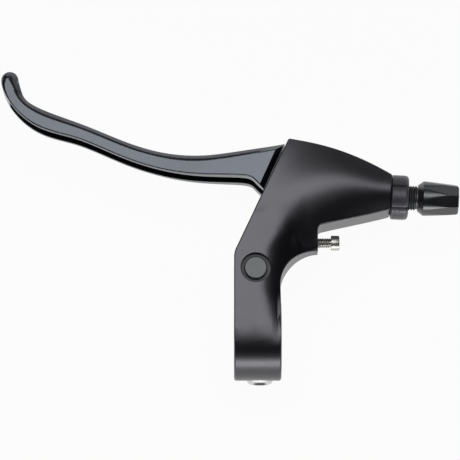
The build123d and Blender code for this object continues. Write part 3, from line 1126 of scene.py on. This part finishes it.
@dataclass
class Lever:
    """The lever blade with its two bushes."""

    crease: BladeCrease = BladeCrease()
    coat: Finish = BLADE_COAT
    bush: Finish = BUSH_RESIN

    def build(self) -> bpy.types.Object:
        """Shades and dresses the blade, and dresses the bushes.

        Returns:
            The blade.
        """
        shaded = self.crease.build(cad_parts["lever_blade"].data)
        blade = casting("lever_blade_casting", shaded, self.coat)
        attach(blade, "lever_body")
        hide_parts("lever_blade")
        dress("upper_bush", self.bush)
        dress("lower_bush", self.bush)
        return blade


@dataclass
class ReturnSpring:
    """The torsion spring round the pivot. Sizes are millimetres."""

    centre: Place = (-0.8, 26.3, -0.925)
    wire_diameter: float = 0.95
    coil_radius: float = 5.2
    turns: float = 3.0
    rise: float = 3.45
    leg: float = 9.8
    finish: Finish = SPRING_STEEL

    def build(self) -> bpy.types.Object:
        """Winds the spring and puts it round the pivot.

        Returns:
            The spring.
        """
        wound = spring_tree().mesh(
            "return_spring_wire",
            {
                "Wire Radius": self.wire_diameter / 2 * MM,
                "Coil Radius": self.coil_radius * MM,
                "Turns": self.turns,
                "Rise": self.rise * MM,
                "Leg": self.leg * MM,
                "Finish": self.finish.material(),
            },
        )
        foot = Vector(self.centre) * MM
        spring = piece("return_spring_wire", [wound], Matrix.Translation(foot), self.finish)
        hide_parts("return_spring")
        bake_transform(spring)
        return spring


@dataclass(frozen=True)
class LobedNut:
    """A round nut with broad lobes and narrow grooves. Sizes are millimetres, angles degrees."""

    radius: float = 9.1
    thickness: float = 7.0
    bore: float = 5.05
    lobes: int = 6
    facing: float = 193.0
    crown: float = 0.22
    groove_depth: float = 0.75
    groove_half_angle: float = 5.0
    line_pitch: float = 0.5
    line_depth: float = 0.09
    line_start: float = 0.6
    line_rise: Span = (0.28, 0.39)
    line_margin: float = 2.0
    back_edge: tuple[Span, ...] = ((1.0, 0.0), (0.35, 0.2), (0.06, 0.45))
    front_edge: tuple[Span, ...] = ((0.12, 1.0), (0.42, 0.45), (1.2, 0.0))
    segments: int = 288

    def reach(self, inset: float) -> Callable[[float], float]:
        """Gives the outline as a function of the angle.

        Args:
            inset: How far the outline lies inside the nut's radius.

        Returns:
            The radius at an angle in radians.
        """
        half = 180 / self.lobes

        def outline(angle: float) -> float:
            """Gives the radius at an angle: a crowned lobe, less the groove at its ends."""
            off = abs((math.degrees(angle) - self.facing + half) % (2 * half) - half)
            near = min((half - off) / self.groove_half_angle, 1.0)
            groove = self.groove_depth * (1 + math.cos(math.pi * near)) / 2
            return self.radius - inset - self.crown * (off / half) ** 2 - groove

        return outline

    def mesh(self, slot: float) -> bmesh.types.BMesh:
        """Makes the nut from z 0 upward, with fine turned lines round its lobes.

        Args:
            slot: Width of the cable slot.

        Returns:
            A closed mesh.
        """
        rings = list(self.back_edge)
        for line in range(int((self.thickness - self.line_margin) / self.line_pitch)):
            foot = self.line_start + line * self.line_pitch
            crest, valley = (foot + rise for rise in self.line_rise)
            rings += [(0.0, foot), (0.0, crest), (self.line_depth, valley)]
        rings += [(inset, self.thickness - depth) for inset, depth in self.front_edge]
        outside = [(self.reach(inset), height) for inset, height in rings]
        inside = [(self.bore, self.thickness), (self.bore, 0.0)]
        return split_tube(outside, inside, slot, self.segments)


@dataclass(frozen=True)
class FacetedKnob:
    """A cone and a tapered grip with facets that widen toward the end. Sizes are millimetres."""

    start: float = 10.8
    cone_length: float = 2.2
    length: float = 14.2
    neck_radius: float = 5.3
    large_radius: float = 6.95
    small_radius: float = 6.3
    bore: float = 4.04
    facets: int = 8
    facing: float = 200.0
    facet_start: float = 0.8
    facet_depth: float = 0.75
    facet_lift: float = 0.02
    edge_width: float = 0.12
    edge_depth: float = 0.03
    end_round: float = 1.1
    shoulder_edge: tuple[Span, ...] = ((0.18, 0.2), (0.04, 0.06))
    grip_steps: int = 28
    round_steps: int = 6
    segments: int = 320

    def reach(self, height: float, limit: float) -> Callable[[float], float]:
        """Gives the outline at a height above the shoulder as a function of the angle.

        Args:
            height: Height above the shoulder.
            limit: The round grip's radius there.

        Returns:
            The radius at an angle in radians.
        """
        share = max(height - self.facet_start, 0.0) / (self.length - self.facet_start)
        fall = self.small_radius - self.facet_depth - self.large_radius
        flat = self.large_radius + self.facet_lift + share * fall
        half = 180 / self.facets

        def outline(angle: float) -> float:
            """Gives the radius at an angle: the facet where it lies inside the round grip."""
            off = (math.degrees(angle) - self.facing + half) % (2 * half) - half
            cut = flat / math.cos(math.radians(off))
            blend = max(self.edge_width - abs(cut - limit), 0.0) / self.edge_width
            return min(cut, limit) - blend * blend * self.edge_depth

        return outline

    def mesh(self, slot: float) -> bmesh.types.BMesh:
        """Makes the knob with its cone first.

        Args:
            slot: Width of the cable slot.

        Returns:
            A closed mesh.
        """
        shoulder = self.start + self.cone_length
        rings: list[tuple[Radius, float]] = [(self.neck_radius, self.start)]
        rings += [(self.large_radius - inset, shoulder - drop) for inset, drop in self.shoulder_edge]
        straight = self.length - self.end_round
        for step in range(self.grip_steps + 1):
            height = straight * step / self.grip_steps
            limit = self.large_radius + (self.small_radius - self.large_radius) * height / self.length
            rings.append((self.reach(height, limit), shoulder + height))
        flat = self.reach(straight, self.small_radius)
        for step in range(1, self.round_steps + 1):
            turn = math.pi / 2 * step / self.round_steps
            height = straight + self.end_round * math.sin(turn)
            inset = self.end_round * (1 - math.cos(turn))
            rings.append((lambda angle, inset=inset: flat(angle) - inset, shoulder + height))
        end = shoulder + self.length
        return split_tube(rings, [(self.bore, end), (self.bore, self.start)], slot, self.segments)


@dataclass(frozen=True)
class ScrewThread:
    """Turns of a thread round +Z. Sizes are millimetres, and the gap for a slot is in radians."""

    core: float
    depth: float
    pitch: float
    crest: float
    start: float
    turns: int
    gap: float = 0.0

    def mesh(self, name: str, finish: Finish) -> bpy.types.Mesh:
        """Makes the turns.

        Args:
            name: Name of the mesh.
            finish: The finish of every face.

        Returns:
            The turns as one mesh.
        """
        return thread_tree().mesh(
            name,
            {
                "Core Radius": self.core * MM,
                "Depth": self.depth * MM,
                "Pitch": self.pitch * MM,
                "Crest": self.crest * MM,
                "Gap": self.gap,
                "Start": self.start * MM,
                "Turns": self.turns,
                "Finish": finish.material(),
            },
        )


@dataclass
class CableAdjuster:
    """The hollow adjuster bolt, its knob and the lock nut. Sizes are millimetres."""

    nose: Place = (53.4, 57.6, 4.75)
    angle: float = -2.5
    inner_end: float = -13.0
    thread_end: float = 10.8
    shank_end: float = 26.8
    major_radius: float = 5.0
    thread_depth: float = 0.58
    thread_crest: float = 0.12
    thread_margins: Span = (0.4, 0.6)
    chamfer: float = 0.6
    pitch: float = 1.0
    shank_radius: float = 4.0
    bore_radius: float = 1.3
    seat_radius: float = 2.8
    seat_start: float = 16.8
    slot_width: float = 2.2
    nut: LobedNut = LobedNut()
    knob: FacetedKnob = FacetedKnob()
    bolt_finish: Finish = ADJUSTER_BLACK
    nut_finish: Finish = NUT_BLACK
    knob_finish: Finish = KNOB_BLACK

    def place(self) -> Matrix:
        """Gives the place of the adjuster's own axes.

        Returns:
            The matrix that puts +Z along the adjuster and +X down.
        """
        along = Vector((math.cos(math.radians(self.angle)), math.sin(math.radians(self.angle)), 0.0))
        turn = Matrix((-UP, along.cross(-UP), along)).transposed().to_4x4()
        return Matrix.Translation(Vector(self.nose) * MM) @ turn

    def build(self) -> bpy.types.Object:
        """Builds the threaded bolt, the knob and the nut.

        Returns:
            The threaded bolt.
        """
        core = self.major_radius - self.thread_depth
        outside = [
            (core - self.chamfer, self.inner_end),
            (core, self.inner_end + self.chamfer),
            (core, self.thread_end),
            (self.shank_radius, self.thread_end),
            (self.shank_radius, self.shank_end),
        ]
        inside = [
            (self.seat_radius, self.shank_end),
            (self.seat_radius, self.seat_start),
            (self.bore_radius, self.seat_start),
            (self.bore_radius, self.inner_end),
        ]
        tube = split_tube(outside, inside, self.slot_width)
        turns = int((self.thread_end - self.inner_end - sum(self.thread_margins)) / self.pitch)
        thread = ScrewThread(
            core=core,
            depth=self.thread_depth,
            pitch=self.pitch,
            crest=self.thread_crest,
            start=self.thread_end - self.thread_margins[1] - turns * self.pitch,
            turns=turns,
            gap=2 * math.asin(self.slot_width / 2 / core),
        ).mesh("adjuster_thread", self.bolt_finish)
        place = self.place()
        bolt = piece("adjuster_bolt_threaded", [tube, thread], place, self.bolt_finish)
        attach(bolt, "adjuster_body")
        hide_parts("adjuster_bolt")
        grip = self.knob.mesh(self.slot_width)
        knob = piece("adjuster_knob_faceted", [grip], place, self.knob_finish)
        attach(knob, "knob_body")
        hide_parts("adjuster_knob")
        lobes = self.nut.mesh(self.slot_width)
        nut = piece("lock_nut_lobed", [lobes], place, self.nut_finish)
        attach(nut, "lock_nut_body")
        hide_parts("lock_nut")
        return bolt


@dataclass
class ReachScrew:
    """The small socket screw that sets the lever's rest. Sizes are millimetres."""

    tip: Place = (8.8, 38.7, 4.75)
    shank_length: float = 20.5
    head_length: float = 3.4
    head_radius: float = 2.95
    major_radius: float = 2.0
    thread_depth: float = 0.40
    thread_crest: float = 0.09
    thread_start: float = 0.35
    thread_margin: float = 0.8
    pitch: float = 0.7
    tip_chamfer: Span = (0.3, 0.4)
    neck_round: Span = (0.2, 0.25)
    head_foot: float = 0.15
    head_edge: tuple[Span, ...] = ((0.0, 0.45), (0.13, 0.13), (0.45, 0.0))
    socket: float = 2.5
    socket_depth: float = 2.0
    socket_lead: Span = (0.35, 0.2)
    socket_point: float = 0.4
    finish: Finish = BARE_STEEL

    def build(self) -> bpy.types.Object:
        """Builds the screw with its thread and hexagon socket.

        Returns:
            The screw.
        """
        core = self.major_radius - self.thread_depth
        end = self.shank_length + self.head_length
        key = hexagon(self.socket * MM)
        profile = [
            (0.0, 0.0),
            (core - self.tip_chamfer[0], 0.0),
            (core, self.tip_chamfer[1]),
            (core, self.shank_length - self.neck_round[1]),
            (core + self.neck_round[0], self.shank_length),
            (self.head_radius - self.head_foot, self.shank_length),
            (self.head_radius, self.shank_length + self.head_foot),
            *((self.head_radius - inset, end - drop) for inset, drop in self.head_edge),
            (self.socket / 2 + self.socket_lead[0], end),
        ]
        rings: list[tuple[Radius, float]] = [(radius * MM, height * MM) for radius, height in profile]
        floor = end - self.socket_depth
        rings += [(key, (end - self.socket_lead[1]) * MM), (key, floor * MM)]
        rings.append((0.0, (floor - self.socket_point) * MM))
        thread = ScrewThread(
            core=core,
            depth=self.thread_depth,
            pitch=self.pitch,
            crest=self.thread_crest,
            start=self.thread_start,
            turns=int((self.shank_length - self.thread_margin) / self.pitch),
        ).mesh("reach_thread", self.finish)
        turn = Matrix((Vector((0, 1, 0)), Vector((0, 0, 1)), Vector((1, 0, 0)))).transposed().to_4x4()
        place = Matrix.Translation(Vector(self.tip) * MM) @ turn
        screw = piece("reach_screw_threaded", [lathe(rings), thread], place, self.finish)
        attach(screw, "reach_screw_body")
        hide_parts("reach_screw")
        return screw


@dataclass
class ClampFastening:
    """The clamp bolt and its square nut."""

    bolt: Finish = BRIGHT_STEEL
    nut: Finish = BARE_STEEL

    def build(self) -> None:
        """Dresses the bolt and the nut."""
        dress("clamp_bolt", self.bolt)
        dress("clamp_nut", self.nut)


@dataclass(frozen=True)
class SoftBox:
    """A soft box on the line through the object that tilts forward from upright.

    Sizes are metres, the tilt is in degrees and the brightness is the light that a mirror would
    show, with 1 as paper white.
    """

    name: str
    tilt: float
    distance: float
    size: Span
    brightness: float
    colour: Colour = (0.95, 0.97, 1.0)

    def hang(self, target: Vector) -> bpy.types.Object:
        """Hangs the box so that it faces a point.

        Args:
            target: The point that it lights.

        Returns:
            The lamp.
        """
        lean = math.radians(self.tilt)
        away = Vector((0.0, math.sin(lean), math.cos(lean))) * self.distance
        data = bpy.data.lights.new(self.name, "AREA")
        data.shape = "RECTANGLE"
        data.size, data.size_y = self.size
        data.energy = self.brightness * math.pi * self.size[0] * self.size[1]
        data.color = self.colour
        lamp = bpy.data.objects.new(self.name, data)
        lamp.location = target + away
        lamp.rotation_euler = away.to_track_quat("Z", "Y").to_euler()
        lamp.visible_camera = False
        bpy.context.scene.collection.objects.link(lamp)
        return lamp


@dataclass
class Studio:
    """Floor, light and camera. Sizes are metres, angles are degrees."""

    target: Place = (-0.011, 0.0441, 0.00475)
    elevation: float = 77.0
    distance: float = 1.3
    view_width: float = 0.184
    floor_height: float = -0.0223
    floor_half: float = 2.5
    paper: float = 0.80
    white: float = 0.95
    room: float = 0.012
    horizon: float = 0.5
    horizon_top: float = 0.30
    room_colour: Colour = (0.97, 0.98, 1.0)
    boxes: tuple[SoftBox, ...] = (
        SoftBox("key_box", 11.0, 1.1, (0.70, 0.52), 3.2),
        SoftBox("top_fill", 14.0, 1.6, (1.6, 1.9), 0.34),
        SoftBox("front_strip", 65.0, 0.9, (1.4, 0.25), 0.9),
        SoftBox("rear_strip", -80.0, 0.9, (1.4, 0.30), 5.0),
    )

    def build(self) -> None:
        """Builds the whole set."""
        self._floor()
        self._world()
        for box in self.boxes:
            box.hang(Vector(self.target))
        self._camera()
        bpy.context.scene.view_settings.view_transform = "Standard"

    def _floor(self) -> None:
        """Lays a pale floor that stays white to camera and reflections."""
        mesh = bmesh.new()
        half = self.floor_half
        corners = [(-half, -half), (half, -half), (half, half), (-half, half)]
        mesh.faces.new([mesh.verts.new((x, y, self.floor_height)) for x, y in corners])
        data = bpy.data.meshes.new("studio_floor")
        mesh.to_mesh(data)
        mesh.free()
        made = bpy.data.materials.new("studio_paper")
        made.use_nodes = True
        tree = made.node_tree
        paper = tree.nodes["Principled BSDF"]
        tone = (self.paper, self.paper, self.paper, 1.0)
        feed(tree, paper, {"Base Color": tone, "Roughness": 0.9, "Specular IOR Level": 0.0})
        glow = add_node(tree, "ShaderNodeEmission", {"Strength": 1.0})
        path = add_node(tree, "ShaderNodeLightPath").outputs
        rays = {0: path["Is Camera Ray"], 1: path["Is Glossy Ray"]}
        seen = add_node(tree, "ShaderNodeMath", rays, operation="MAXIMUM")
        share = add_node(
            tree, "ShaderNodeMath", {0: seen.outputs["Value"], 1: self.white}, operation="MULTIPLY"
        )
        mix = add_node(
            tree,
            "ShaderNodeMixShader",
            {"Fac": share.outputs["Value"], 1: paper.outputs["BSDF"], 2: glow.outputs["Emission"]},
        )
        feed(tree, tree.nodes["Material Output"], {"Surface": mix.outputs["Shader"]})
        data.materials.append(made)
        floor = bpy.data.objects.new("studio_floor", data)
        bpy.context.scene.collection.objects.link(floor)

    def _world(self) -> None:
        """Makes a dim room above a bright horizon, and white to the camera."""
        world = bpy.data.worlds.new("studio_room")
        bpy.context.scene.world = world
        world.use_nodes = True
        tree = world.node_tree
        way = add_node(tree, "ShaderNodeTexCoord").outputs["Generated"]
        split = add_node(tree, "ShaderNodeSeparateXYZ", {"Vector": way})
        fall = add_node(
            tree,
            "ShaderNodeMapRange",
            {
                "Value": split.outputs["Z"],
                "From Min": 0.0,
                "From Max": self.horizon_top,
                "To Min": self.horizon,
                "To Max": self.room,
            },
            interpolation_type="SMOOTHSTEP",
        )
        room = tree.nodes["Background"]
        feed(tree, room, {"Color": (*self.room_colour, 1.0), "Strength": fall.outputs["Result"]})
        plain = add_node(tree, "ShaderNodeBackground", {"Color": (1.0, 1.0, 1.0, 1.0)})
        path = add_node(tree, "ShaderNodeLightPath").outputs
        mix = add_node(
            tree,
            "ShaderNodeMixShader",
            {
                "Fac": path["Is Camera Ray"],
                1: room.outputs["Background"],
                2: plain.outputs["Background"],
            },
        )
        feed(tree, tree.nodes["World Output"], {"Surface": mix.outputs["Shader"]})

    def _camera(self) -> None:
        """Sets the camera at the photograph's angle with a long lens."""
        rise = math.radians(self.elevation)
        away = Vector((0.0, -math.cos(rise), math.sin(rise))) * self.distance
        data = bpy.data.cameras.new("studio_camera")
        data.sensor_width = 36.0
        data.lens = data.sensor_width * self.distance / self.view_width
        data.clip_end = 50.0
        camera = bpy.data.objects.new("studio_camera", data)
        camera.location = Vector(self.target) + away
        camera.rotation_euler = Euler((math.pi / 2 - rise, 0.0, 0.0))
        bpy.context.scene.collection.objects.link(camera)
        bpy.context.scene.camera = camera


def main() -> None:
    """Builds each sub-assembly in turn, then the studio, and notes the sizes."""
    logging.basicConfig(level=logging.INFO, format="%(name)s: %(message)s")
    for part in (Bracket(), Lever(), ReturnSpring(), CableAdjuster(), ReachScrew(), ClampFastening()):
        part.build()
        log.info("built %s", type(part).__name__)
    Studio().build()


if __name__ == "__main__":
    main()
